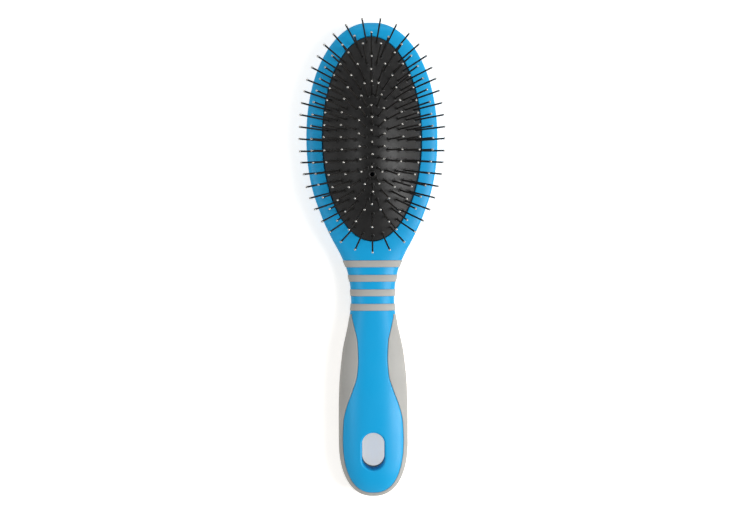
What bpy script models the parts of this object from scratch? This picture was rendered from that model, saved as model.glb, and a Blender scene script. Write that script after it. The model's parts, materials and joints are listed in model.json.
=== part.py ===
"""Cushion pin brush for grooming pets.

The brush lies on its back. +Y runs to the tip of the head, the pins point up (+Z), and the origin is on
the surface under the brush, halfway along it. All of it is mirrored about the plane x = 0.
"""

import math
from itertools import chain

import bmesh
import bpy
from mathutils import Vector

MM = 0.001
GAP = 0.3 * MM  # left between pieces that touch on the real brush

# Plan outline of the whole brush
HALF_LENGTH = 115 * MM
HEAD_CENTRE_Y = 58.7 * MM
HEAD_HALF_LENGTH = HALF_LENGTH - HEAD_CENTRE_Y
HEAD_HALF_WIDTH = 31.8 * MM
HEAD_POWER = 2.1  # 2 is an ellipse, more is fuller
HEAD_ENDS_Y = 26 * MM
NECK_HALF_WIDTH = 10.5 * MM
GRIP_HALF_WIDTH = 16.75 * MM
BUTT_CENTRE_Y = -88 * MM
BUTT_POWER = 2.3

# Side view of the whole brush
RIM_Z = 15 * MM  # front face of the head
TIP_ROUND = 5.5 * MM  # how far back from the tip the front face starts to fall
TIP_BACK_ROUND = 22 * MM
BUTT_ROUND = 14 * MM
BUTT_BACK_ROUND = 16 * MM
END_POWER = 2.2
SECTION_POINTS = 24

# Grip
GRIP_START_Y = -26.5 * MM
SPINE_FLOOR_Z = 5.5 * MM
SPINE_HALF_WIDTH = 14.6 * MM
SPINE_CENTRE_Y = -86 * MM
SPINE_END_Y = -112.7 * MM
SPINE_POWER = 2.4
SLOT_CENTRE_Y = -92.4 * MM
SLOT_HALF_WIDTH = 5.45 * MM
SLOT_HALF_LENGTH = 9 * MM

# Neck bands
BAND_COUNT = 4
BAND_FIRST_Y = -0.4 * MM
BAND_WIDTH = 3.3 * MM
BAND_PITCH = 7.0 * MM
BAND_PROUD = 0.4 * MM
BAND_DEPTH = 1.0 * MM

# Cushion pad
PAD_CENTRE_Y = 58.3 * MM
PAD_HALF_WIDTH = 23.7 * MM
PAD_HALF_LENGTH = 49.1 * MM
DOME_HEIGHT = 12 * MM
PAD_THICKNESS = 1.5 * MM
PAD_SEGMENTS = 36
DOME_RINGS = 5
LIP_THICKNESS = 2.2 * MM
FLANGE_WIDTH = 2.2 * MM
FLANGE_THICKNESS = 1.6 * MM
FLANGE_LAP = 1.8 * MM  # how far the flange reaches inwards from the skirt
RECESS_FLOOR_Z = 3.5 * MM
VENT_Y = PAD_CENTRE_Y - 17.8 * MM
VENT_RADIUS = 1.0 * MM

# Pins
PIN_LENGTH = 20 * MM  # above the rubber
PIN_RADIUS = 0.42 * MM
BALL_RADIUS = 0.55 * MM
PIN_SIDES = 5
PIN_BELOW = 3.6 * MM  # from the top of the rubber to the middle of the joining strip
STRIP_HALF_WIDTH = 0.6 * MM
STRIP_HALF_HEIGHT = 0.5 * MM
ROW_NAMES = ("row1", "row2", "row3", "row4", "row5")
# Each row is an oval: half width, half length, places, whether a place is on the tip end, and the places
# that stay empty, counted from the tip end to the right and round.
ROWS = (
    (21.1 * MM, 46.9 * MM, 45, False, ()),
    (17.0 * MM, 40.6 * MM, 39, True, (19, 20)),
    (12.9 * MM, 36.4 * MM, 33, False, ()),
    (8.0 * MM, 30.6 * MM, 27, True, ()),
    (3.3 * MM, 24.0 * MM, 20, True, (0, 10)),
)
COLUMN_FIRST_Y = 25.2 * MM
COLUMN_PITCH = 4.77 * MM
COLUMN_PLACES = 12
COLUMN_EMPTY = (2, 9)  # the second of these is the vent's place


# ---------------------------------------------------------------- outline and section


def smooth_curve(knots):
    """A function that runs smoothly, without overshoot, through knots given from high y to low y."""
    ys = [y * MM for y, _ in knots]
    values = [value for _, value in knots]
    rises = [(values[i + 1] - values[i]) / (ys[i + 1] - ys[i]) for i in range(len(knots) - 1)]
    slopes = [rises[0]]
    for before, after in zip(rises, rises[1:]):
        same_way = before * after > 0
        slopes.append(2 * before * after / (before + after) if same_way else 0.0)
    slopes.append(rises[-1])

    def value_at(y):
        i = 0
        while i < len(knots) - 2 and y < ys[i + 1]:
            i += 1
        step = ys[i + 1] - ys[i]
        t = min(1.0, max(0.0, (y - ys[i]) / step))
        rise_part = t * t * (3 - 2 * t)
        start_slope = step * t * (1 - t) ** 2 * slopes[i]
        end_slope = step * t * t * (t - 1) * slopes[i + 1]
        return values[i] + (values[i + 1] - values[i]) * rise_part + start_slope + end_slope

    return value_at


def oval(distance, half_length, half_width, power):
    """Half width of a superellipse at a distance from its middle."""
    t = min(1.0, abs(distance) / half_length)
    return half_width * (1 - t**power) ** (1 / power)


def head_half_width(y):
    return oval(y - HEAD_CENTRE_Y, HEAD_HALF_LENGTH, HEAD_HALF_WIDTH, HEAD_POWER)


neck_half_width = smooth_curve(
    (
        (30, head_half_width(30 * MM)),
        (26, head_half_width(26 * MM)),
        (18, 23.4 * MM),
        (10, 19.6 * MM),
        (2.5, 15.6 * MM),
        (-6.4, 12.1 * MM),
        (-14, 10.8 * MM),
        (-21, NECK_HALF_WIDTH),
        (-30, 11.8 * MM),
        (-46, 15.0 * MM),
        (-63, 16.5 * MM),
        (-76, GRIP_HALF_WIDTH),
        (-88, GRIP_HALF_WIDTH),
    )
)
spine_half_width = smooth_curve(
    (
        (-20, 10.0 * MM),
        (-27, 10.0 * MM),
        (-32, 9.0 * MM),
        (-40, 7.3 * MM),
        (-48, 7.0 * MM),
        (-56, 7.6 * MM),
        (-63, 9.7 * MM),
        (-71, 12.6 * MM),
        (-78, 14.2 * MM),
        (-86, SPINE_HALF_WIDTH),
    )
)
front_z = smooth_curve(
    (
        (116, RIM_Z),
        (20, RIM_Z),
        (4, 14.6 * MM),
        (-14, 14.8 * MM),
        (-50, 17.6 * MM),
        (-75, 18 * MM),
        (-116, 17 * MM),
    )
)
widest_z = smooth_curve(((116, 10.5 * MM), (20, 10.5 * MM), (-10, 8.6 * MM), (-116, 8.5 * MM)))
# Below zero the back is cut off level, which makes the flats the brush rests on.
back_z = smooth_curve(
    (
        (116, -1.0 * MM),
        (14, -1.0 * MM),
        (-14, 2.2 * MM),
        (-42, -1.2 * MM),
        (-116, -1.2 * MM),
    )
)
front_power = smooth_curve(((116, 5), (30, 5), (-5, 2.4), (-116, 2.4)))
back_power = smooth_curve(((116, 2.6), (30, 2.6), (-5, 2.2), (-116, 2.2)))


def brush_half_width(y):
    if y > HEAD_ENDS_Y:
        return head_half_width(y)
    if y > BUTT_CENTRE_Y:
        return neck_half_width(y)
    return oval(y - BUTT_CENTRE_Y, HALF_LENGTH + BUTT_CENTRE_Y, GRIP_HALF_WIDTH, BUTT_POWER)


def end_factor(y, tip_reach, butt_reach):
    """1 along the brush, falling to 0 on a quarter round at each end."""
    past_tip = (y - HALF_LENGTH + tip_reach) / tip_reach
    past_butt = (-y - HALF_LENGTH + butt_reach) / butt_reach
    return oval(max(0.0, past_tip, past_butt), 1.0, 1.0, END_POWER)


def section(y, grow=0.0):
    """Points round the brush's cross-section at y, grown outwards by a distance."""
    half_width = brush_half_width(y) + grow
    middle = widest_z(y)
    rise = (front_z(y) - middle) * end_factor(y, TIP_ROUND, BUTT_ROUND) + grow
    drop = (middle - back_z(y)) * end_factor(y, TIP_BACK_ROUND, BUTT_BACK_ROUND) + grow
    points = []
    for i in range(SECTION_POINTS):
        angle = 2 * math.pi * i / SECTION_POINTS
        across, up = math.cos(angle), math.sin(angle)
        power = 2 / (front_power(y) if up >= 0 else back_power(y))
        x = half_width * math.copysign(abs(across) ** power, across)
        height = abs(up) ** power
        z = middle + rise * height if up >= 0 else max(0.0, middle - drop * height)
        points.append(Vector((x, y, z)))
    return points


def brush_stations():
    """Places along Y for the sections, closer together towards the two ends."""
    head = [HEAD_CENTRE_Y + HEAD_HALF_LENGTH * math.sin(math.radians(a)) for a in range(86, -37, -8)]
    neck = [y * MM for y in range(22, -88, -4)]
    reach = HALF_LENGTH + BUTT_CENTRE_Y
    butt = [BUTT_CENTRE_Y - reach * math.sin(math.radians(a)) for a in range(0, 90, 11)]
    return head + neck + butt


# ---------------------------------------------------------------- mesh helpers


def material(name, red, green, blue, roughness, metallic=0.0):
    """A Principled material from a display colour in 0 to 255."""
    made = bpy.data.materials.new(name)
    made.use_nodes = True
    shader = made.node_tree.nodes["Principled BSDF"]
    linear = [(channel / 255) ** 2.2 for channel in (red, green, blue)]
    shader.inputs["Base Color"].default_value = (*linear, 1.0)
    shader.inputs["Roughness"].default_value = roughness
    shader.inputs["Metallic"].default_value = metallic
    return made


def to_object(name, bm, surface=None):
    bmesh.ops.recalc_face_normals(bm, faces=bm.faces)
    mesh = bpy.data.meshes.new(name)
    bm.to_mesh(mesh)
    bm.free()
    made = bpy.data.objects.new(name, mesh)
    bpy.context.scene.collection.objects.link(made)
    if surface:
        mesh.materials.append(surface)
        mesh.shade_smooth()
        mesh.set_sharp_from_angle(angle=math.radians(35))
    else:
        made.hide_render = True
        made.display_type = "WIRE"
    return made


def skin(bm, loops, closed=False):
    """Joins each ring of vertices to the next one, and the last to the first if closed."""
    pairs = list(zip(loops, loops[1:]))
    if closed:
        pairs.append((loops[-1], loops[0]))
    for here, there in pairs:
        for i in range(len(here)):
            j = (i + 1) % len(here)
            bm.faces.new((here[i], here[j], there[j], there[i]))


def fan(bm, loop, point):
    tip = bm.verts.new(point)
    for i in range(len(loop)):
        bm.faces.new((loop[i], loop[(i + 1) % len(loop)], tip))


def ring(bm, points):
    return [bm.verts.new(point) for point in points]


def combine(target, other, operation):
    modifier = target.modifiers.new(operation.lower() + "_" + other.name, "BOOLEAN")
    modifier.operation = operation
    modifier.object = other
    modifier.solver = "EXACT"


def prism(name, outline, bottom, top):
    bm = bmesh.new()
    low = ring(bm, [(x, y, bottom) for x, y in outline])
    high = ring(bm, [(x, y, top) for x, y in outline])
    skin(bm, [low, high])
    bm.faces.new(low)
    bm.faces.new(high)
    return to_object(name, bm)


# ---------------------------------------------------------------- body and grip


def brush_shape(name, surface):
    """The outside of the whole brush as one solid."""
    bm = bmesh.new()
    loops = [ring(bm, section(y)) for y in brush_stations()]
    skin(bm, loops)
    fan(bm, loops[0], (0, HALF_LENGTH, widest_z(HALF_LENGTH)))
    fan(bm, loops[-1], (0, -HALF_LENGTH, widest_z(-HALF_LENGTH)))
    return to_object(name, bm, surface)


def spine_outline(grow):
    """Plan of the body's spine inside the grip, from in front of the grip round the butt and back."""
    ahead = [y * MM for y in (-20, -24)] + [y * MM for y in range(-27, -86, -3)]
    side = [(spine_half_width(y) + grow, y) for y in ahead]
    reach = SPINE_CENTRE_Y - SPINE_END_Y + grow
    for degrees in range(0, 90, 9):
        y = SPINE_CENTRE_Y - reach * math.sin(math.radians(degrees))
        side.append((oval(y - SPINE_CENTRE_Y, reach, SPINE_HALF_WIDTH + grow, SPINE_POWER), y))
    end = [(0, SPINE_CENTRE_Y - reach)]
    return side + end + [(-x, y) for x, y in reversed(side)]


def grip_region(name, start_y, grow):
    """All the space behind start_y except the spine, as a cutter."""
    wide, high = 30 * MM, 30 * MM
    corners = [(wide, start_y), (wide, -HALF_LENGTH - high), (-wide, -HALF_LENGTH - high), (-wide, start_y)]
    block = prism(name, corners, -high, high)
    spine = prism(name + "_spine", spine_outline(grow), SPINE_FLOOR_Z - grow, 2 * high)
    combine(block, spine, "DIFFERENCE")
    return block


def hang_slot():
    outline = []
    straight = SLOT_HALF_LENGTH - SLOT_HALF_WIDTH
    for end, first in ((1, 0), (-1, 180)):
        for step in range(9):
            angle = math.radians(first + 22.5 * step)
            y = SLOT_CENTRE_Y + end * straight + SLOT_HALF_WIDTH * math.sin(angle)
            outline.append((SLOT_HALF_WIDTH * math.cos(angle), y))
    return prism("slot_cutter", outline, -10 * MM, 40 * MM)


def band_ring(name, front_y, back_y, inner, outer, surface=None):
    """A band round the neck between two distances from the neck's surface."""
    bm = bmesh.new()
    across = (front_y, (front_y + back_y) / 2, back_y)
    loops = [ring(bm, section(y, outer)) for y in across]
    loops += [ring(bm, section(y, inner)) for y in reversed(across)]
    skin(bm, loops, closed=True)
    return to_object(name, bm, surface)


def make_neck_bands(body, surface):
    for k in range(BAND_COUNT):
        front = BAND_FIRST_Y - k * BAND_PITCH
        back = front - BAND_WIDTH
        groove = band_ring(f"groove_{k + 1}", front + GAP, back - GAP, -BAND_DEPTH - GAP, 3 * MM)
        combine(body, groove, "DIFFERENCE")
        band_ring(f"neck_band_{k + 1}", front, back, -BAND_DEPTH, BAND_PROUD, surface)


# ---------------------------------------------------------------- cushion pad


def pad_ring(bm, grow, z, scale=1.0):
    """The pad's own oval outline grown by a distance."""
    points = []
    for i in range(PAD_SEGMENTS):
        angle = 2 * math.pi * i / PAD_SEGMENTS
        x = (PAD_HALF_WIDTH + grow) * scale * math.cos(angle)
        y = PAD_CENTRE_Y + (PAD_HALF_LENGTH + grow) * scale * math.sin(angle)
        points.append((x, y, z))
    return ring(bm, points)


def recess_cutter():
    lip_z = RIM_Z - LIP_THICKNESS
    flange_z = lip_z - FLANGE_THICKNESS - 2 * GAP
    mouth, groove = 0.7 * MM, FLANGE_WIDTH + GAP
    levels = ((-FLANGE_LAP + GAP, RECESS_FLOOR_Z), (-FLANGE_LAP + GAP, flange_z), (groove, flange_z))
    levels += ((groove, lip_z), (mouth, lip_z), (mouth, 2 * RIM_Z))
    bm = bmesh.new()
    loops = [pad_ring(bm, grow, z) for grow, z in levels]
    skin(bm, loops)
    bm.faces.new(loops[0])
    bm.faces.new(loops[-1])
    return to_object("recess_cutter", bm)


def dome_z(x, y):
    """Height of the rubber's top at a place over the pad."""
    spread = (x / PAD_HALF_WIDTH) ** 2 + ((y - PAD_CENTRE_Y) / PAD_HALF_LENGTH) ** 2
    return RIM_Z + DOME_HEIGHT * (1 - spread)


def dome_normal(x, y):
    fall_x = 2 * DOME_HEIGHT * x / PAD_HALF_WIDTH**2
    fall_y = 2 * DOME_HEIGHT * (y - PAD_CENTRE_Y) / PAD_HALF_LENGTH**2
    return Vector((fall_x, fall_y, 1)).normalized()


def make_pad(surface):
    """A domed shell with a skirt and a flange, open underneath, with a hole for each pin and the vent."""
    lip_z = RIM_Z - LIP_THICKNESS - GAP
    bm = bmesh.new()
    scales = [(k + 1) / DOME_RINGS for k in range(DOME_RINGS)]
    top = [pad_ring(bm, 0, RIM_Z + DOME_HEIGHT * (1 - s * s), s) for s in scales]
    edge = [pad_ring(bm, 0, lip_z), pad_ring(bm, FLANGE_WIDTH, lip_z)]
    edge.append(pad_ring(bm, FLANGE_WIDTH, lip_z - FLANGE_THICKNESS))
    edge.append(pad_ring(bm, -FLANGE_LAP, lip_z - FLANGE_THICKNESS))
    inner_z = RIM_Z - PAD_THICKNESS
    under = [pad_ring(bm, -FLANGE_LAP, inner_z + DOME_HEIGHT * (1 - s * s), s) for s in reversed(scales)]
    skin(bm, top + edge + under)
    fan(bm, top[0], (0, PAD_CENTRE_Y, RIM_Z + DOME_HEIGHT))
    fan(bm, under[-1], (0, PAD_CENTRE_Y, inner_z + DOME_HEIGHT))
    pad = to_object("cushion_pad", bm, surface)

    holes = bmesh.new()
    for root, axis in pins_in(chain(*pin_groups().values())):
        rod(holes, root - axis * PIN_BELOW, root + axis * PIN_BELOW, axis, PIN_RADIUS + GAP, PIN_SIDES)
    up = Vector((0, 0, 1))
    vent = Vector((0, VENT_Y, RIM_Z + DOME_HEIGHT))
    rod(holes, vent - up * 8 * MM, vent + up * 8 * MM, up, VENT_RADIUS, 8)
    combine(pad, to_object("pin_holes", holes), "DIFFERENCE")


# ---------------------------------------------------------------- pins


def circle(centre, axis, radius, sides):
    side = axis.orthogonal().normalized()
    other = axis.cross(side)
    turns = [2 * math.pi * i / sides for i in range(sides)]
    return [centre + (side * math.cos(a) + other * math.sin(a)) * radius for a in turns]


def rod(bm, start, end, axis, radius, sides):
    low = ring(bm, circle(start, axis, radius, sides))
    high = ring(bm, circle(end, axis, radius, sides))
    skin(bm, [low, high])
    bm.faces.new(low)
    bm.faces.new(high)


def wire_pin(bm, root, axis):
    """A wire that widens into a ball at its tip."""
    low = ring(bm, circle(root - axis * PIN_BELOW, axis, PIN_RADIUS, PIN_SIDES))
    tip = root + axis * PIN_LENGTH
    high = ring(bm, circle(tip - axis * BALL_RADIUS, axis, BALL_RADIUS, PIN_SIDES))
    skin(bm, [low, high])
    bm.faces.new(low)
    fan(bm, high, tip)


def even_turns(half_width, half_length, fractions):
    """Angles from the tip end, at even distances along an oval."""
    steps = 720
    lengths = [0.0]
    for i in range(steps):
        a, b = 2 * math.pi * i / steps, 2 * math.pi * (i + 1) / steps
        along_x = half_width * (math.sin(b) - math.sin(a))
        along_y = half_length * (math.cos(b) - math.cos(a))
        lengths.append(lengths[-1] + math.hypot(along_x, along_y))
    turns = []
    for fraction in fractions:
        wanted = fraction * lengths[-1]
        i = next(i for i in range(steps) if lengths[i + 1] >= wanted)
        part = (wanted - lengths[i]) / (lengths[i + 1] - lengths[i])
        turns.append(2 * math.pi * (i + part) / steps)
    return turns


def place_at(x, y, has_pin):
    """A place for a pin: its root on the rubber's top, its axis, and whether a pin stands there."""
    return Vector((x, y, dome_z(x, y))), dome_normal(x, y), has_pin


def sector_of(turn, row):
    """Which part of an oval row an angle from the tip end is in; the innermost row has only two sides."""
    eighth = math.pi / 4
    if row < len(ROWS) - 1 and (turn < eighth or turn > 7 * eighth):
        return "tip"
    if row < len(ROWS) - 1 and 3 * eighth < turn < 5 * eighth:
        return "heel"
    return "right" if turn < math.pi else "left"


def row_groups(row):
    """The places of one oval row by sector, each sector's in order round the row."""
    half_width, half_length, count, one_on_tip, empty = ROWS[row]
    shift = 0.0 if one_on_tip else 0.5
    turns = even_turns(half_width, half_length, [(i + shift) / count for i in range(count)])
    sectors = {"tip": [], "right": [], "heel": [], "left": []}
    for i, turn in enumerate(turns):
        sector = sector_of(turn, row)
        y = PAD_CENTRE_Y + half_length * math.cos(turn)
        place = place_at(half_width * math.sin(turn), y, i not in empty)
        order = turn - 2 * math.pi if sector == "tip" and turn > math.pi else turn
        sectors[sector].append((order, place))
    groups = {}
    for sector, ordered in sectors.items():
        places = [place for _, place in sorted(ordered, key=lambda item: item[0])]
        while places and not places[0][2]:
            places.pop(0)
        while places and not places[-1][2]:
            places.pop()
        if places:
            groups[f"{ROW_NAMES[row]}_pins_{sector}"] = places
    return groups


def pin_groups():
    column_y = [PAD_CENTRE_Y + COLUMN_FIRST_Y - COLUMN_PITCH * i for i in range(COLUMN_PLACES)]
    groups = {"centre_pins": [place_at(0.0, y, i not in COLUMN_EMPTY) for i, y in enumerate(column_y)]}
    for row in range(len(ROWS)):
        groups.update(row_groups(row))
    return groups


def pins_in(places):
    return [(root, axis) for root, axis, has_pin in places if has_pin]


def strip(name, places):
    """The flat strip under the rubber that joins a group of pins."""
    bm = bmesh.new()
    centres = [root - axis * PIN_BELOW for root, axis, _ in places]
    loops = []
    for i, centre in enumerate(centres):
        ahead = centres[min(i + 1, len(centres) - 1)] - centres[max(i - 1, 0)]
        along = ahead.normalized()
        across = along.cross(places[i][1]).normalized() * STRIP_HALF_WIDTH
        up = places[i][1] * STRIP_HALF_HEIGHT
        past = 0.0
        if i == 0:
            past = -STRIP_HALF_WIDTH
        if i == len(centres) - 1:
            past = STRIP_HALF_WIDTH
        middle = centre + along * past
        corners = (across + up, up - across, -across - up, across - up)
        loops.append(ring(bm, [middle + corner for corner in corners]))
    skin(bm, loops)
    bm.faces.new(loops[0])
    bm.faces.new(loops[-1])
    return to_object(name, bm)


def make_pins(surface):
    for name, places in pin_groups().items():
        bm = bmesh.new()
        for root, axis in pins_in(places):
            wire_pin(bm, root, axis)
        group = to_object(name, bm, surface)
        combine(group, strip(name + "_strip", places), "UNION")


# ---------------------------------------------------------------- the brush


def main():
    for old in list(bpy.data.objects):
        bpy.data.objects.remove(old, do_unlink=True)

    body = brush_shape("handle_body", material("blue_plastic", 24, 165, 221, 0.38))
    combine(body, grip_region("grip_space", GRIP_START_Y + GAP, 0.0), "DIFFERENCE")
    combine(body, recess_cutter(), "DIFFERENCE")
    slot = hang_slot()
    combine(body, slot, "DIFFERENCE")
    make_neck_bands(body, material("grey_bands", 190, 188, 184, 0.6))

    grip = brush_shape("grip_overmould", material("grey_rubber", 190, 188, 184, 0.62))
    combine(grip, grip_region("grip_fit", GRIP_START_Y, GAP), "INTERSECT")
    combine(grip, slot, "DIFFERENCE")

    make_pad(material("black_rubber", 42, 39, 39, 0.5))
    make_pins(material("dark_steel", 96, 92, 90, 0.3, 1.0))


main()
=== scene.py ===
"""Looks of the cushion pin brush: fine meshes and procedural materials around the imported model."""

import json
import math
import random

import bmesh
import bpy
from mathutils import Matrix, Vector


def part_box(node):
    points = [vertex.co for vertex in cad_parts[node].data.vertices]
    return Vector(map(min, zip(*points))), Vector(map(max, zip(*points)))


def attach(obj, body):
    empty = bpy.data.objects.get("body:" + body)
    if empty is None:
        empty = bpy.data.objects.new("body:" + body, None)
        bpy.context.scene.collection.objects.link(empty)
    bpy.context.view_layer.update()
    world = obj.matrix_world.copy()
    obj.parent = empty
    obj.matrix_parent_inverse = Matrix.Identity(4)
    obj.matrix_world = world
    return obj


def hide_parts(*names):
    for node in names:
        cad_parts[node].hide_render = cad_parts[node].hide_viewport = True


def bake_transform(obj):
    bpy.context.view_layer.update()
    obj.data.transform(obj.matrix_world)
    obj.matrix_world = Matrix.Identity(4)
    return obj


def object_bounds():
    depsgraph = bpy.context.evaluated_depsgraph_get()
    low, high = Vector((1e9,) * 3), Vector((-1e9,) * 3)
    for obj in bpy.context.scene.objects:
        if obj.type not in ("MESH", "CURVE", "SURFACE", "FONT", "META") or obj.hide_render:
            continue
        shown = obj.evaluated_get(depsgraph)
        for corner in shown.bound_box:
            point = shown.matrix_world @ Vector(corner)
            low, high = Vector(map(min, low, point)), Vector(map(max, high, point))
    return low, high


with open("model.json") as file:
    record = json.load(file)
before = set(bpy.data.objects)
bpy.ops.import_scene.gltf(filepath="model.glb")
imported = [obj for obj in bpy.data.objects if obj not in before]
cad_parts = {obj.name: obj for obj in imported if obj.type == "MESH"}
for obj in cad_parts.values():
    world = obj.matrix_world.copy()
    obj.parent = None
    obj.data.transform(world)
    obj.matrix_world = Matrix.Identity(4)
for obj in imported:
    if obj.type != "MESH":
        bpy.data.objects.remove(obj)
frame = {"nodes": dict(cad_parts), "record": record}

CAD_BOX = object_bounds()
MM = 0.001

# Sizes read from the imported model
TIP_Y = CAD_BOX[1][1]
BUTT_Y = CAD_BOX[0][1]
GRIP_START_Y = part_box("grip_overmould")[1].y
PAD_LOW, PAD_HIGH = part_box("cushion_pad")
FLANGE_WIDTH = 2.2 * MM
PAD_Y = (PAD_LOW.y + PAD_HIGH.y) / 2
PAD_HALF_WIDTH = PAD_HIGH.x - FLANGE_WIDTH
PAD_HALF_LENGTH = PAD_HIGH.y - PAD_Y - FLANGE_WIDTH

# The body's outline and side view, as the model has them
HEAD_CENTRE_Y = 58.7 * MM
HEAD_HALF_LENGTH = TIP_Y - HEAD_CENTRE_Y
HEAD_HALF_WIDTH = 31.8 * MM
HEAD_POWER = 2.1  # 2 is an ellipse, more is fuller
HEAD_ENDS_Y = 26 * MM
NECK_HALF_WIDTH = 10.5 * MM
GRIP_HALF_WIDTH = 16.75 * MM
BUTT_CENTRE_Y = -88 * MM
BUTT_POWER = 2.3
RIM_Z = 15 * MM
TIP_ROUND = 5.5 * MM
TIP_BACK_ROUND = 22 * MM
BUTT_ROUND = 14 * MM
BUTT_BACK_ROUND = 16 * MM
END_POWER = 2.2
DOME_HEIGHT = PAD_HIGH.z - RIM_Z
SPINE_FLOOR_Z = 5.5 * MM
SPINE_HALF_WIDTH = 14.6 * MM
SPINE_CENTRE_Y = -86 * MM
SPINE_END_Y = -112.7 * MM
SPINE_POWER = 2.4
SLOT_CENTRE_Y = -92.4 * MM
SLOT_HALF_WIDTH = 5.45 * MM
SLOT_HALF_LENGTH = 9 * MM
LIP_THICKNESS = 2.2 * MM
FLANGE_THICKNESS = 1.6 * MM
RECESS_FLOOR_Z = 3.5 * MM
RUBBER = 1.5 * MM
VENT_Y = PAD_Y - 17.8 * MM
VENT_RADIUS = 1.0 * MM

# Each row of pins is an oval: half width, half length, places, whether a place is on the tip end, and
# the places that stay empty, counted from the tip end to the right and round.
ROWS = (
    (21.1 * MM, 46.9 * MM, 45, False, ()),
    (17.0 * MM, 40.6 * MM, 39, True, (19, 20)),
    (12.9 * MM, 36.4 * MM, 33, False, ()),
    (8.0 * MM, 30.6 * MM, 27, True, ()),
    (3.3 * MM, 24.0 * MM, 20, True, (0, 10)),
)
COLUMN_FIRST_Y = 25.2 * MM
COLUMN_PITCH = 4.77 * MM
COLUMN_PLACES = 12
COLUMN_EMPTY = (2, 9)

# Fine detail that only the looks have
SECTION_POINTS = 96
SEAM = 0.05 * MM  # half the line between the blue plastic and the grey rubber
SPINE_EDGE = 0.35 * MM
GRIP_EDGE = 0.5 * MM
SLOT_FRONT_EDGE = 1.0 * MM
SLOT_BACK_EDGE = 0.8 * MM
SLOT_STEPS = 32  # along each round end
MOUTH_EDGE = 0.5 * MM
MOUTH_GROW = 0.35 * MM
RECESS_INSET = 1.5 * MM
FLANGE_ROOM = 0.3 * MM  # beside the pad's flange, and twice this below it
FLANGE_LAP = 1.6 * MM
OVERRUN = 6 * MM  # how far a cutter runs past the surface
FLARE_STEPS = 5
FLARE_TURN = 82  # degrees of each rounded edge
BAND_PROUD = 0.33 * MM
BAND_DEPTH = 1.0 * MM
BAND_EDGE = 0.3 * MM
BAND_EDGE_STEPS = 5
GROOVE_DEPTH = 1.2 * MM
GROOVE_REACH = 3 * MM
GROOVE_EDGE = 0.1 * MM
PAD_SEGMENTS = 192
DOME_RINGS = 44
SIDE_GROW = 0.1 * MM  # the pad's upright side stands out this far from its outline
SIDE_DROP = 0.35 * MM
FILLET = 0.2 * MM
COLLAR_SIDES = 14
VENT_SIDES = 32
PIN_SIDES = 12
WIRE_RADIUS = 0.42 * MM
BALL_RADIUS = 0.55 * MM
BALL_STEPS = 8
BALL_END = math.radians(170)  # where the rings stop, short of the ball's top
PIN_LENGTH = 20 * MM
NAIL_RADIUS = 0.95 * MM
NAIL_LOW, NAIL_HIGH = -0.45 * MM, -0.05 * MM  # from the underside of the rubber
NAIL_EDGE = 0.1 * MM
PIN_LEAN = 0.008  # how far the pins stray from true, as a slope
FLOOR_GLOW = 0.52


# ---------------------------------------------------------------- outline and surface


def smooth_curve(knots):
    """A function that runs smoothly, without overshoot, through knots given from high y to low y."""
    ys = [y * MM for y, _ in knots]
    values = [value for _, value in knots]
    rises = [(values[i + 1] - values[i]) / (ys[i + 1] - ys[i]) for i in range(len(knots) - 1)]
    slopes = [rises[0]]
    for before, after in zip(rises, rises[1:]):
        same_way = before * after > 0
        slopes.append(2 * before * after / (before + after) if same_way else 0.0)
    slopes.append(rises[-1])

    def value_at(y):
        i = 0
        while i < len(knots) - 2 and y < ys[i + 1]:
            i += 1
        step = ys[i + 1] - ys[i]
        t = min(1.0, max(0.0, (y - ys[i]) / step))
        rise_part = t * t * (3 - 2 * t)
        start_slope = step * t * (1 - t) ** 2 * slopes[i]
        end_slope = step * t * t * (t - 1) * slopes[i + 1]
        return values[i] + (values[i + 1] - values[i]) * rise_part + start_slope + end_slope

    return value_at


def oval(distance, half_length, half_width, power):
    """Half width of a superellipse at a distance from its middle."""
    t = min(1.0, abs(distance) / half_length)
    return half_width * (1 - t**power) ** (1 / power)


def head_half_width(y):
    return oval(y - HEAD_CENTRE_Y, HEAD_HALF_LENGTH, HEAD_HALF_WIDTH, HEAD_POWER)


neck_half_width = smooth_curve(
    (
        (30, head_half_width(30 * MM)),
        (26, head_half_width(26 * MM)),
        (18, 23.4 * MM),
        (10, 19.6 * MM),
        (2.5, 15.6 * MM),
        (-6.4, 12.1 * MM),
        (-14, 10.8 * MM),
        (-21, NECK_HALF_WIDTH),
        (-30, 11.8 * MM),
        (-46, 15.0 * MM),
        (-63, 16.5 * MM),
        (-76, GRIP_HALF_WIDTH),
        (-88, GRIP_HALF_WIDTH),
    )
)
spine_half_width = smooth_curve(
    (
        (-20, 10.0 * MM),
        (-27, 10.0 * MM),
        (-32, 9.0 * MM),
        (-40, 7.3 * MM),
        (-48, 7.0 * MM),
        (-56, 7.6 * MM),
        (-63, 9.7 * MM),
        (-71, 12.6 * MM),
        (-78, 14.2 * MM),
        (-86, SPINE_HALF_WIDTH),
    )
)
front_z = smooth_curve(
    (
        (116, RIM_Z),
        (20, RIM_Z),
        (4, 14.6 * MM),
        (-14, 14.8 * MM),
        (-50, 17.6 * MM),
        (-75, 18 * MM),
        (-116, 17 * MM),
    )
)
widest_z = smooth_curve(((116, 10.5 * MM), (20, 10.5 * MM), (-10, 8.6 * MM), (-116, 8.5 * MM)))
# Below zero the back is cut off level, which makes the flats the brush rests on.
back_z = smooth_curve(
    (
        (116, -1.0 * MM),
        (14, -1.0 * MM),
        (-14, 2.2 * MM),
        (-42, -1.2 * MM),
        (-116, -1.2 * MM),
    )
)
front_power = smooth_curve(((116, 5), (30, 5), (-5, 2.4), (-116, 2.4)))
back_power = smooth_curve(((116, 2.6), (30, 2.6), (-5, 2.2), (-116, 2.2)))


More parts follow.
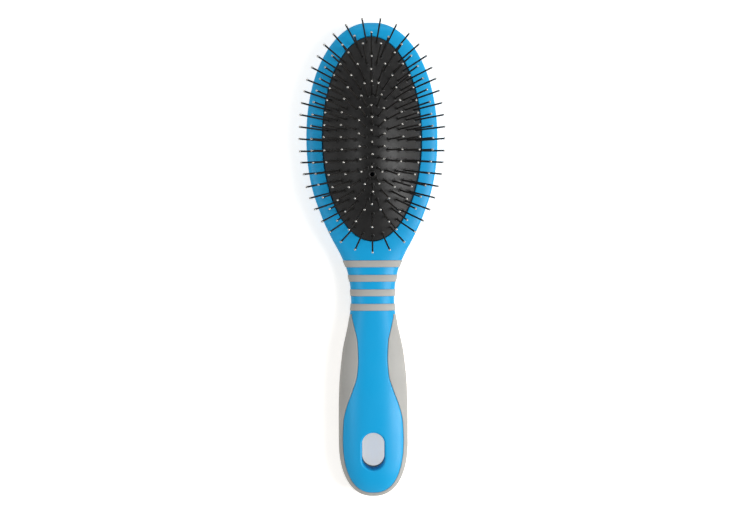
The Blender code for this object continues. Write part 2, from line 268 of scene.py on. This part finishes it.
def brush_half_width(y):
    if y > HEAD_ENDS_Y:
        return head_half_width(y)
    if y > BUTT_CENTRE_Y:
        return neck_half_width(y)
    return oval(y - BUTT_CENTRE_Y, BUTT_CENTRE_Y - BUTT_Y, GRIP_HALF_WIDTH, BUTT_POWER)


def end_factor(y, tip_reach, butt_reach):
    """1 along the brush, falling to 0 on a quarter round at each end."""
    past_tip = (y - TIP_Y + tip_reach) / tip_reach
    past_butt = (BUTT_Y + butt_reach - y) / butt_reach
    return oval(max(0.0, past_tip, past_butt), 1.0, 1.0, END_POWER)


def rise_and_drop(y):
    """Heights of the front and the depth of the back at y, from the widest level."""
    middle = widest_z(y)
    rise = (front_z(y) - middle) * end_factor(y, TIP_ROUND, BUTT_ROUND)
    drop = (middle - back_z(y)) * end_factor(y, TIP_BACK_ROUND, BUTT_BACK_ROUND)
    return rise, drop


def section(y, grow=0.0):
    """Points round the brush's cross-section at y, grown outwards by a distance."""
    half_width = brush_half_width(y) + grow
    middle = widest_z(y)
    rise, drop = rise_and_drop(y)
    points = []
    for i in range(SECTION_POINTS):
        angle = 2 * math.pi * i / SECTION_POINTS
        across, up = math.cos(angle), math.sin(angle)
        power = 2 / (front_power(y) if up >= 0 else back_power(y))
        x = half_width * math.copysign(abs(across) ** power, across)
        height = abs(up) ** power
        z = middle + (rise + grow) * height if up >= 0 else max(0.0, middle - (drop + grow) * height)
        points.append((x, y, z))
    return points


def surface_z(x, y, front):
    """Height of the brush's front or back surface over a place."""
    half_width = max(brush_half_width(y), 0.001 * MM)
    rise, drop = rise_and_drop(y)
    if front:
        return widest_z(y) + oval(x, half_width, rise, front_power(y))
    return max(0.0, widest_z(y) - oval(x, half_width, drop, back_power(y)))


def steps(start, stop, step):
    return [start + step * i for i in range(math.ceil((stop - start) / step))]


def brush_stations():
    """Places along Y for the sections, closer together towards the two ends."""
    head = [HEAD_CENTRE_Y + HEAD_HALF_LENGTH * math.sin(math.radians(a)) for a in steps(89, -35.5, -1.5)]
    neck = [y * MM for y in steps(25, -87.5, -1.2)]
    reach = BUTT_CENTRE_Y - BUTT_Y
    butt = [BUTT_CENTRE_Y - reach * math.sin(math.radians(a)) for a in steps(0, 90, 2)]
    return head + neck + butt


# ---------------------------------------------------------------- mesh helpers


class Shape:
    """Points and faces gathered from loops, fans and caps, each face with the material chosen for it."""

    def __init__(self):
        self.points = []
        self.faces = []
        self.surfaces = []
        self.surface = 0

    def face(self, corners):
        self.faces.append(tuple(corners))
        self.surfaces.append(self.surface)

    def loop(self, points):
        first = len(self.points)
        self.points.extend(points)
        return list(range(first, len(self.points)))

    def skin(self, loops, closed=False):
        """Joins each loop to the next one, and the last to the first if closed."""
        pairs = list(zip(loops, loops[1:]))
        if closed:
            pairs.append((loops[-1], loops[0]))
        for here, there in pairs:
            for i in range(len(here)):
                j = (i + 1) % len(here)
                self.face((here[i], here[j], there[j], there[i]))

    def fan(self, loop, point):
        tip = self.loop([point])[0]
        for i in range(len(loop)):
            self.face((loop[i], loop[(i + 1) % len(loop)], tip))

    def stack(self, rings):
        """A closed solid through a list of rings, with flat ends."""
        loops = [self.loop(ring) for ring in rings]
        self.skin(loops)
        self.face(loops[0])
        self.face(loops[-1])

    def to_object(self, name, *surfaces):
        mesh = bpy.data.meshes.new(name)
        mesh.from_pydata([tuple(point) for point in self.points], [], self.faces)
        mesh.polygons.foreach_set("material_index", self.surfaces)
        bm = bmesh.new()
        bm.from_mesh(mesh)
        bmesh.ops.recalc_face_normals(bm, faces=bm.faces)
        bm.to_mesh(mesh)
        bm.free()
        made = bpy.data.objects.new(name, mesh)
        bpy.context.scene.collection.objects.link(made)
        for surface in surfaces:
            mesh.materials.append(surface)
        return made


def cut(target, cutter, operation="DIFFERENCE"):
    """Applies a boolean at once and removes the cutter."""
    modifier = target.modifiers.new("cut", "BOOLEAN")
    modifier.operation = operation
    modifier.object = cutter
    modifier.solver = "EXACT"
    bpy.context.view_layer.update()
    graph = bpy.context.evaluated_depsgraph_get()
    result = bpy.data.meshes.new_from_object(target.evaluated_get(graph), depsgraph=graph)
    target.modifiers.clear()
    old = target.data
    target.data = result
    bpy.data.meshes.remove(old)
    bpy.data.objects.remove(cutter, do_unlink=True)


def smooth(piece, sharp=35):
    piece.data.shade_smooth()
    piece.data.set_sharp_from_angle(angle=math.radians(sharp))


def finish_piece(piece, body, node):
    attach(piece, body)
    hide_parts(node)


# ---------------------------------------------------------------- outlines with rounded edges


def outward(outline):
    """The outward unit normal at each point of a closed outline in the plan."""
    area = sum(a[0] * b[1] - b[0] * a[1] for a, b in zip(outline, outline[1:] + outline[:1]))
    turn = 1 if area > 0 else -1
    normals = []
    for i in range(len(outline)):
        before, after = outline[i - 1], outline[(i + 1) % len(outline)]
        dx, dy = after[0] - before[0], after[1] - before[1]
        length = math.hypot(dx, dy)
        normals.append((turn * dy / length, -turn * dx / length))
    return normals


def flare(outline, radius, front, side):
    """Rings that round an edge over to the brush's surface; side is 1 outwards, -1 inwards."""
    rings = []
    up = 1 if front else -1
    for step in range(FLARE_STEPS):
        turn = math.radians(FLARE_TURN * step / (FLARE_STEPS - 1))
        away = side * radius * (1 - math.cos(turn))
        depth = radius * (1 - math.sin(turn))
        ring = []
        for (x, y), (nx, ny) in zip(outline, outward(outline)):
            px, py = x + nx * away, y + ny * away
            ring.append((px, py, surface_z(px, py, front) - up * depth))
        rings.append(ring)
    rings.append([(x, y, z + up * OVERRUN) for x, y, z in rings[-1]])
    return rings


def level(outline, z):
    return [(x, y, z) for x, y in outline]


def pad_outline(grow, scale=1.0):
    turns = [2 * math.pi * i / PAD_SEGMENTS for i in range(PAD_SEGMENTS)]
    half_width, half_length = (PAD_HALF_WIDTH + grow) * scale, (PAD_HALF_LENGTH + grow) * scale
    return [(half_width * math.cos(turn), PAD_Y + half_length * math.sin(turn)) for turn in turns]


def slot_outline():
    outline = []
    straight = SLOT_HALF_LENGTH - SLOT_HALF_WIDTH
    for end in (1, -1):
        for step in range(SLOT_STEPS + 1):
            angle = end * math.pi * step / SLOT_STEPS
            y = SLOT_CENTRE_Y + end * (straight + SLOT_HALF_WIDTH * abs(math.sin(angle)))
            outline.append((end * SLOT_HALF_WIDTH * math.cos(angle), y))
    return outline


def spine_outline(grow):
    """Plan of the body's spine inside the grip, with points about every millimetre."""
    side = [(spine_half_width(y * MM) + grow, y * MM) for y in steps(-20, -85.5, -1.0)]
    reach = SPINE_CENTRE_Y - SPINE_END_Y + grow
    for degrees in steps(0, 88, 3):
        y = SPINE_CENTRE_Y - reach * math.sin(math.radians(degrees))
        side.append((oval(y - SPINE_CENTRE_Y, reach, SPINE_HALF_WIDTH + grow, SPINE_POWER), y))
    return side + [(0, SPINE_CENTRE_Y - reach)] + [(-x, y) for x, y in reversed(side)]


# ---------------------------------------------------------------- materials


def linear(colour):
    """Linear light from a display colour in 0 to 255."""
    return [(c / 255 / 12.92) if c <= 10 else ((c / 255 + 0.055) / 1.055) ** 2.4 for c in colour]


class Nodes:
    """A material's node tree, with short calls for the nodes used here."""

    def __init__(self, name):
        self.material = bpy.data.materials.new(name)
        self.material.use_nodes = True
        self.tree = self.material.node_tree
        self.shader = self.tree.nodes["Principled BSDF"]
        self.place = self.tree.nodes.new("ShaderNodeTexCoord").outputs["Object"]

    def link(self, source, target):
        self.tree.links.new(source, target)

    def noise(self, scale, detail=4.0, roughness=0.55, stretch=(1, 1, 1)):
        mapping = self.tree.nodes.new("ShaderNodeMapping")
        mapping.inputs["Scale"].default_value = stretch
        self.link(self.place, mapping.inputs["Vector"])
        node = self.tree.nodes.new("ShaderNodeTexNoise")
        node.inputs["Scale"].default_value = scale
        node.inputs["Detail"].default_value = detail
        node.inputs["Roughness"].default_value = roughness
        self.link(mapping.outputs["Vector"], node.inputs["Vector"])
        return node.outputs["Fac"]

    def spread(self, value, low, high, start=0.3, end=0.7):
        """Maps start..end of a value to low..high."""
        node = self.tree.nodes.new("ShaderNodeMapRange")
        node.inputs["From Min"].default_value = start
        node.inputs["From Max"].default_value = end
        node.inputs["To Min"].default_value = low
        node.inputs["To Max"].default_value = high
        self.link(value, node.inputs["Value"])
        return node.outputs["Result"]

    def colours(self, value, low, high, start=0.3, end=0.7):
        """A ramp between two display colours."""
        node = self.tree.nodes.new("ShaderNodeValToRGB")
        for element, position, colour in zip(node.color_ramp.elements, (start, end), (low, high)):
            element.position = position
            element.color = (*linear(colour), 1.0)
        self.link(value, node.inputs["Fac"])
        return node.outputs["Color"]

    def bump(self, height, strength, distance, below=None):
        node = self.tree.nodes.new("ShaderNodeBump")
        node.inputs["Strength"].default_value = strength
        node.inputs["Distance"].default_value = distance
        self.link(height, node.inputs["Height"])
        if below:
            self.link(below, node.inputs["Normal"])
        return node.outputs["Normal"]

    def finish(self, colour, roughness, normal, **values):
        self.link(colour, self.shader.inputs["Base Color"])
        self.link(roughness, self.shader.inputs["Roughness"])
        self.link(normal, self.shader.inputs["Normal"])
        for key, value in values.items():
            self.shader.inputs[key.replace("_", " ")].default_value = value
        return self.material


def blue_plastic():
    """Satin moulded plastic with a fine spark-eroded grain and faint flow marks along its length."""
    n = Nodes("blue_plastic")
    flow = n.noise(28, detail=3, stretch=(1, 0.35, 1))
    colour = n.colours(flow, (8, 163, 223), (13, 170, 229))
    roughness = n.spread(n.noise(90, detail=5), 0.34, 0.42)
    waves = n.bump(flow, 0.08, 0.6 * MM)
    grain = n.bump(n.noise(2600, detail=2), 0.16, 0.05 * MM, waves)
    return n.finish(colour, roughness, grain, IOR=1.46, Specular_IOR_Level=0.4)


def grey_rubber():
    """Soft-touch rubber: matt, with a fine pebbled grain and faint handling marks."""
    n = Nodes("grey_rubber")
    marks = n.noise(55, detail=6, roughness=0.65)
    colour = n.colours(marks, (172, 171, 167), (182, 181, 177))
    roughness = n.spread(n.noise(160, detail=4), 0.6, 0.74)
    pebbles = n.bump(n.noise(1500, detail=3), 0.3, 0.08 * MM)
    return n.finish(colour, roughness, pebbles, Sheen_Weight=0.1, Sheen_Roughness=0.5)


def black_rubber():
    """Moulded black rubber with a fine grain, a satin sheen and a little bloom."""
    n = Nodes("black_rubber")
    bloom = n.noise(120, detail=6, roughness=0.7)
    colour = n.colours(bloom, (17, 16, 16), (25, 24, 23), start=0.3, end=0.75)
    roughness = n.spread(n.noise(240, detail=4), 0.4, 0.5)
    ripple = n.bump(n.noise(260, detail=2), 0.12, 0.15 * MM)
    grain = n.bump(n.noise(2200, detail=2), 0.2, 0.05 * MM, ripple)
    return n.finish(colour, roughness, grain)


def wire_steel():
    """Drawn steel wire with a dark finish and faint draw marks."""
    n = Nodes("wire_steel")
    tone = n.noise(700, detail=3, stretch=(1, 1, 0.2))
    colour = n.colours(tone, (50, 48, 47), (62, 60, 58))
    roughness = n.spread(n.noise(1800, detail=3, stretch=(1, 1, 0.1)), 0.36, 0.48)
    return n.finish(colour, roughness, n.bump(tone, 0.1, 0.02 * MM), Metallic=0.3)


def ball_steel():
    """The polished ball on the end of each wire."""
    n = Nodes("ball_steel")
    tone = n.noise(900, detail=3)
    colour = n.colours(tone, (176, 174, 170), (196, 194, 190))
    roughness = n.spread(n.noise(2400, detail=2), 0.2, 0.28)
    return n.finish(colour, roughness, n.bump(tone, 0.05, 0.01 * MM), Metallic=1.0)


def floor_paper():
    """Warm white paper with a faint glow, as on a lit table, which doesn't light the brush."""
    n = Nodes("floor_paper")
    fibres = n.noise(40)
    colour = n.colours(fibres, (250, 246, 240), (254, 250, 244))
    roughness = n.spread(fibres, 0.85, 0.95)
    seen = n.tree.nodes.new("ShaderNodeLightPath").outputs["Is Camera Ray"]
    n.link(n.spread(seen, 0.0, FLOOR_GLOW, start=0.0, end=1.0), n.shader.inputs["Emission Strength"])
    normal = n.bump(fibres, 0.05, 0.05 * MM)
    return n.finish(colour, roughness, normal, Specular_IOR_Level=0.1, Emission_Color=(1, 1, 1, 1))


# ---------------------------------------------------------------- body, grip and bands


def brush_hull(name, surface):
    shape = Shape()
    loops = [shape.loop(section(y)) for y in brush_stations()]
    shape.skin(loops)
    shape.fan(loops[0], (0, TIP_Y, widest_z(TIP_Y)))
    shape.fan(loops[-1], (0, BUTT_Y, widest_z(BUTT_Y)))
    return shape.to_object(name, surface)


def slot_cutter():
    outline = slot_outline()
    back = flare(outline, SLOT_BACK_EDGE, front=False, side=1)
    shape = Shape()
    shape.stack(back[::-1] + flare(outline, SLOT_FRONT_EDGE, front=True, side=1))
    return shape.to_object("slot_cutter")


def recess_cutter():
    """The space for the pad: an undercut for its flange below a lip with a rounded edge."""
    lip_z = RIM_Z - LIP_THICKNESS
    shelf_z = lip_z - FLANGE_THICKNESS - 2 * FLANGE_ROOM
    inside = pad_outline(-RECESS_INSET)
    groove = pad_outline(FLANGE_WIDTH + FLANGE_ROOM)
    mouth = pad_outline(MOUTH_GROW)
    rings = [level(inside, RECESS_FLOOR_Z), level(inside, shelf_z), level(groove, shelf_z)]
    rings += [level(groove, lip_z), level(mouth, lip_z)]
    shape = Shape()
    shape.stack(rings + flare(mouth, MOUTH_EDGE, front=True, side=1))
    return shape.to_object("recess_cutter")


def grip_space(start_y, grow, edge, side):
    """All the space behind start_y except the spine, whose front edge is rounded."""
    wide = 30 * MM
    corners = [(wide, start_y), (wide, BUTT_Y - wide), (-wide, BUTT_Y - wide), (-wide, start_y)]
    block = Shape()
    block.stack([level(corners, -wide), level(corners, wide)])
    space = block.to_object("grip_space")
    outline = spine_outline(grow)
    spine = Shape()
    spine.stack([level(outline, SPINE_FLOOR_Z - grow)] + flare(outline, edge, front=True, side=side))
    cut(space, spine.to_object("spine_cutter"))
    return space


def neck_bands():
    """The front and back y of each band on the neck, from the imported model."""
    boxes = {name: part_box(name) for name in frame["nodes"] if name.startswith("neck_band")}
    return {name: (high.y, low.y) for name, (low, high) in sorted(boxes.items())}


def band_solid(name, front, back, inner, outer, edge, *surfaces):
    """A ring round the neck between two distances from its surface, its outer edges rounded."""
    half = [(front, inner), (front, (inner + outer - edge) / 2)]
    for step in range(BAND_EDGE_STEPS):
        turn = math.radians(90 * step / (BAND_EDGE_STEPS - 1))
        half.append((front - edge * (1 - math.cos(turn)), outer - edge * (1 - math.sin(turn))))
    middle = (front + back) / 2
    mirrored = [(2 * middle - y, grow) for y, grow in reversed(half)]
    profile = half + [(middle, outer)] + mirrored + [(middle, inner)]
    shape = Shape()
    shape.skin([shape.loop(section(y, grow)) for y, grow in profile], closed=True)
    return shape.to_object(name, *surfaces)


def make_body(surface):
    body = brush_hull("body_moulding", surface)
    cut(body, grip_space(GRIP_START_Y + SEAM, 0.0, SPINE_EDGE, -1))
    cut(body, recess_cutter())
    cut(body, slot_cutter())
    for front, back in neck_bands().values():
        groove = band_solid("groove", front + SEAM, back - SEAM, -GROOVE_DEPTH, GROOVE_REACH, GROOVE_EDGE)
        cut(body, groove)
    smooth(body)
    finish_piece(body, "root", "handle_body")


def make_grip(surface):
    grip = brush_hull("grip_rubber", surface)
    cut(grip, grip_space(GRIP_START_Y, 2 * SEAM, GRIP_EDGE, 1), "INTERSECT")
    cut(grip, slot_cutter())
    smooth(grip)
    finish_piece(grip, "root", "grip_overmould")


def make_bands(surface):
    for name, (front, back) in neck_bands().items():
        band = band_solid(f"{name}_rubber", front, back, -BAND_DEPTH, BAND_PROUD, BAND_EDGE, surface)
        smooth(band)
        finish_piece(band, "root", name)


# ---------------------------------------------------------------- pad and pins


def dome_z(x, y):
    """Height of the rubber's top at a place over the pad."""
    spread = (x / PAD_HALF_WIDTH) ** 2 + ((y - PAD_Y) / PAD_HALF_LENGTH) ** 2
    return RIM_Z + DOME_HEIGHT * (1 - spread)


def dome_normal(x, y):
    fall_x = 2 * DOME_HEIGHT * x / PAD_HALF_WIDTH**2
    fall_y = 2 * DOME_HEIGHT * (y - PAD_Y) / PAD_HALF_LENGTH**2
    return Vector((fall_x, fall_y, 1)).normalized()


def turned_rings(root, axis, profile, sides):
    """Rings of a turned form on an axis; the profile is (radius, distance along the axis)."""
    side = axis.orthogonal().normalized()
    other = axis.cross(side)
    turns = [2 * math.pi * i / sides for i in range(sides)]
    spokes = [side * math.cos(turn) + other * math.sin(turn) for turn in turns]
    return [[root + axis * along + spoke * radius for spoke in spokes] for radius, along in profile]


def on_dome(x, y):
    """The root of a turned form that stands on the rubber, and its axis."""
    return Vector((x, y, dome_z(x, y))), dome_normal(x, y)


def even_turns(half_width, half_length, fractions):
    """Angles from the tip end, at even distances along an oval."""
    parts = 720
    lengths = [0.0]
    for i in range(parts):
        a, b = 2 * math.pi * i / parts, 2 * math.pi * (i + 1) / parts
        along_x = half_width * (math.sin(b) - math.sin(a))
        along_y = half_length * (math.cos(b) - math.cos(a))
        lengths.append(lengths[-1] + math.hypot(along_x, along_y))
    turns = []
    for fraction in fractions:
        wanted = fraction * lengths[-1]
        i = next(i for i in range(parts) if lengths[i + 1] >= wanted)
        part = (wanted - lengths[i]) / (lengths[i + 1] - lengths[i])
        turns.append(2 * math.pi * (i + part) / parts)
    return turns


def sector_of(turn, row):
    """Which part of an oval row an angle from the tip end is in; the innermost row has only two sides."""
    eighth = math.pi / 4
    if row < len(ROWS) - 1 and (turn < eighth or turn > 7 * eighth):
        return "tip"
    if row < len(ROWS) - 1 and 3 * eighth < turn < 5 * eighth:
        return "heel"
    return "right" if turn < math.pi else "left"


def pin_groups():
    """The plan places of the pins by CAD node."""
    column = [i for i in range(COLUMN_PLACES) if i not in COLUMN_EMPTY]
    groups = {"centre_pins": [(0.0, PAD_Y + COLUMN_FIRST_Y - COLUMN_PITCH * i) for i in column]}
    for row, (half_width, half_length, count, one_on_tip, empty) in enumerate(ROWS):
        shift = 0.0 if one_on_tip else 0.5
        turns = even_turns(half_width, half_length, [(i + shift) / count for i in range(count)])
        for i, turn in enumerate(turns):
            if i not in empty:
                place = (half_width * math.sin(turn), PAD_Y + half_length * math.cos(turn))
                groups.setdefault(f"row{row + 1}_pins_{sector_of(turn, row)}", []).append(place)
    return groups


def pad_profile():
    """The pad's closed section as (grow, scale, z), from the top of the dome round to its underside."""
    scales = [(k + 1) / DOME_RINGS for k in range(DOME_RINGS)]
    lip_z = RIM_Z - LIP_THICKNESS
    flange_z = lip_z - FLANGE_THICKNESS
    profile = [(0, scale, RIM_Z + DOME_HEIGHT * (1 - scale**2)) for scale in scales]
    profile += [(SIDE_GROW, 1, RIM_Z - SIDE_DROP), (SIDE_GROW, 1, lip_z)]
    profile += [(SIDE_GROW + FILLET, 1, lip_z - 0.75 * FILLET), (FLANGE_WIDTH, 1, lip_z - FILLET)]
    profile += [(FLANGE_WIDTH, 1, flange_z), (-FLANGE_LAP, 1, flange_z)]
    under = [(-FLANGE_LAP, scale, RIM_Z - RUBBER + DOME_HEIGHT * (1 - scale**2)) for scale in scales[3::4]]
    return profile + under[::-1]


def pad_shape():
    shape = Shape()
    loops = [shape.loop(level(pad_outline(grow, scale), z)) for grow, scale, z in pad_profile()]
    shape.skin(loops)
    shape.fan(loops[0], (0, PAD_Y, RIM_Z + DOME_HEIGHT))
    shape.fan(loops[-1], (0, PAD_Y, RIM_Z - RUBBER + DOME_HEIGHT))
    return shape


def pin_collars(surface):
    """A low rounded collar in the rubber round each wire, as (radius, height over the rubber)."""
    section_mm = ((0.5, -0.3), (1.2, -0.3), (1.15, 0.05), (0.95, 0.18), (0.72, 0.24), (0.5, 0.14))
    profile = [(radius * MM, along * MM) for radius, along in section_mm]
    shape = Shape()
    for places in pin_groups().values():
        for x, y in places:
            rings = turned_rings(*on_dome(x, y), profile, COLLAR_SIDES)
            shape.skin([shape.loop(ring) for ring in rings], closed=True)
    return shape.to_object("pin_collars", surface)


def vent_rim(surface):
    """The moulded lip round the hole that lets the cushion breathe, as (radius, height over the rubber)."""
    section_mm = ((1.0, -0.4), (2.1, -0.4), (2.0, 0.05), (1.7, 0.28), (1.35, 0.34), (1.05, 0.18))
    profile = [(radius * MM, along * MM) for radius, along in section_mm]
    rings = turned_rings(*on_dome(0, VENT_Y), profile, VENT_SIDES)
    shape = Shape()
    shape.skin([shape.loop(ring) for ring in rings], closed=True)
    return shape.to_object("vent_rim", surface)


def vent_cutter():
    shape = Shape()
    ends = [(VENT_RADIUS, -OVERRUN), (VENT_RADIUS, OVERRUN)]
    shape.stack(turned_rings(*on_dome(0, VENT_Y), ends, VENT_SIDES))
    return shape.to_object("vent_cutter")


def make_pad(surface):
    pad = pad_shape().to_object("cushion_rubber", surface)
    cut(pad, vent_cutter())
    for piece in (pad, vent_rim(surface), pin_collars(surface)):
        smooth(piece, 40)
        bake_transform(piece)
    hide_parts("cushion_pad")


def wire_profile():
    """A nail head under the rubber, then the wire up to its ball."""
    low, high = NAIL_LOW - RUBBER, NAIL_HIGH - RUBBER
    nail = [(0, low), (0.9 * NAIL_RADIUS, low), (NAIL_RADIUS, low + NAIL_EDGE), (NAIL_RADIUS, high)]
    neck = PIN_LENGTH - BALL_RADIUS - math.sqrt(BALL_RADIUS**2 - WIRE_RADIUS**2)
    return nail + [(WIRE_RADIUS, -RUBBER), (WIRE_RADIUS, neck / 2), (WIRE_RADIUS, neck)]


def ball_profile():
    """The ball as (radius, distance along the pin), from the wire round to its top."""
    centre = PIN_LENGTH - BALL_RADIUS
    start = math.asin(WIRE_RADIUS / BALL_RADIUS)
    turns = [start + (BALL_END - start) * step / (BALL_STEPS - 1) for step in range(BALL_STEPS)]
    return [(BALL_RADIUS * math.sin(turn), centre - BALL_RADIUS * math.cos(turn)) for turn in turns]


def add_pin(shape, root, axis):
    """One wire with its nail head in the shape's first material, and its ball in the second."""
    wire = wire_profile()
    ball = ball_profile()
    shape.surface = 0
    loops = [shape.loop(ring) for ring in turned_rings(root, axis, wire[1:], PIN_SIDES)]
    shape.skin(loops)
    shape.fan(loops[0], root + axis * wire[0][1])
    shape.surface = 1
    tip_loops = [loops[-1]] + [shape.loop(ring) for ring in turned_rings(root, axis, ball[1:], PIN_SIDES)]
    shape.skin(tip_loops)
    shape.fan(tip_loops[-1], root + axis * PIN_LENGTH)


def make_pins(wire, ball):
    chance = random.Random(11)
    bodies = frame["record"]["behaviour"]["bodies"]
    for node, places in pin_groups().items():
        shape = Shape()
        for x, y in places:
            root, axis = on_dome(x, y)
            lean = Vector((chance.gauss(0, PIN_LEAN), chance.gauss(0, PIN_LEAN), 0))
            add_pin(shape, root, (axis + lean).normalized())
        pins = shape.to_object(f"{node}_wires", wire, ball)
        smooth(pins, 60)
        body = next(name for name, nodes in bodies.items() if node in nodes)
        finish_piece(pins, body, node)


# ---------------------------------------------------------------- studio


def aim(made, target):
    made.rotation_euler = (Vector(target) - made.location).to_track_quat("-Z", "Y").to_euler()


def make_floor():
    half, z = 1.5, -0.1 * MM
    floor = Shape()
    floor.face(floor.loop(level([(-half, -half), (half, -half), (half, half), (-half, half)], z)))
    floor.to_object("floor", floor_paper())


def make_sky(overhead, horizon):
    """A white room, darker overhead than at the walls."""
    world = bpy.data.worlds.new("studio")
    bpy.context.scene.world = world
    world.use_nodes = True
    tree = world.node_tree
    direction = tree.nodes.new("ShaderNodeTexCoord").outputs["Generated"]
    split = tree.nodes.new("ShaderNodeSeparateXYZ")
    tree.links.new(direction, split.inputs["Vector"])
    fade = tree.nodes.new("ShaderNodeMapRange")
    fade.interpolation_type = "SMOOTHSTEP"
    fade.inputs["From Min"].default_value = 0.35
    fade.inputs["From Max"].default_value = 1.0
    fade.inputs["To Min"].default_value = horizon
    fade.inputs["To Max"].default_value = overhead
    tree.links.new(split.outputs["Z"], fade.inputs["Value"])
    background = tree.nodes["Background"]
    background.inputs["Color"].default_value = (1, 1, 1, 1)
    tree.links.new(fade.outputs["Result"], background.inputs["Strength"])


def make_lights():
    for name, place, size, power in (
        ("key_light", (0.64, -0.05, 0.82), 0.4, 4.0),
        ("side_light", (1.0, -0.25, 0.55), 0.4, 4.6),
        ("fill_light", (-0.62, 0.0, 0.85), 0.4, 1.5),
        ("head_light", (0.1, 0.9, 0.8), 0.5, 1.0),
    ):
        data = bpy.data.lights.new(name, "AREA")
        data.shape = "DISK"
        data.size = size
        data.energy = power
        light = bpy.data.objects.new(name, data)
        bpy.context.scene.collection.objects.link(light)
        light.location = place
        aim(light, (0, 0, 0))


def make_camera():
    """Straight above the brush, with the head at the top of the picture and a slight roll."""
    data = bpy.data.cameras.new("camera")
    data.sensor_width = 36
    data.lens = 69.8
    camera = bpy.data.objects.new("camera", data)
    bpy.context.scene.collection.objects.link(camera)
    camera.location = (-0.45 * MM, 1.0 * MM, 710 * MM)
    camera.rotation_euler = (0, 0, -0.0045)
    bpy.context.scene.camera = camera


# ---------------------------------------------------------------- the brush


def main():
    bpy.context.scene.view_settings.view_transform = "Standard"
    make_camera()
    make_sky(overhead=0.15, horizon=0.6)
    make_lights()
    make_floor()
    rubber = grey_rubber()
    make_body(blue_plastic())
    make_grip(rubber)
    make_bands(rubber)
    make_pad(black_rubber())
    make_pins(wire_steel(), ball_steel())


main()
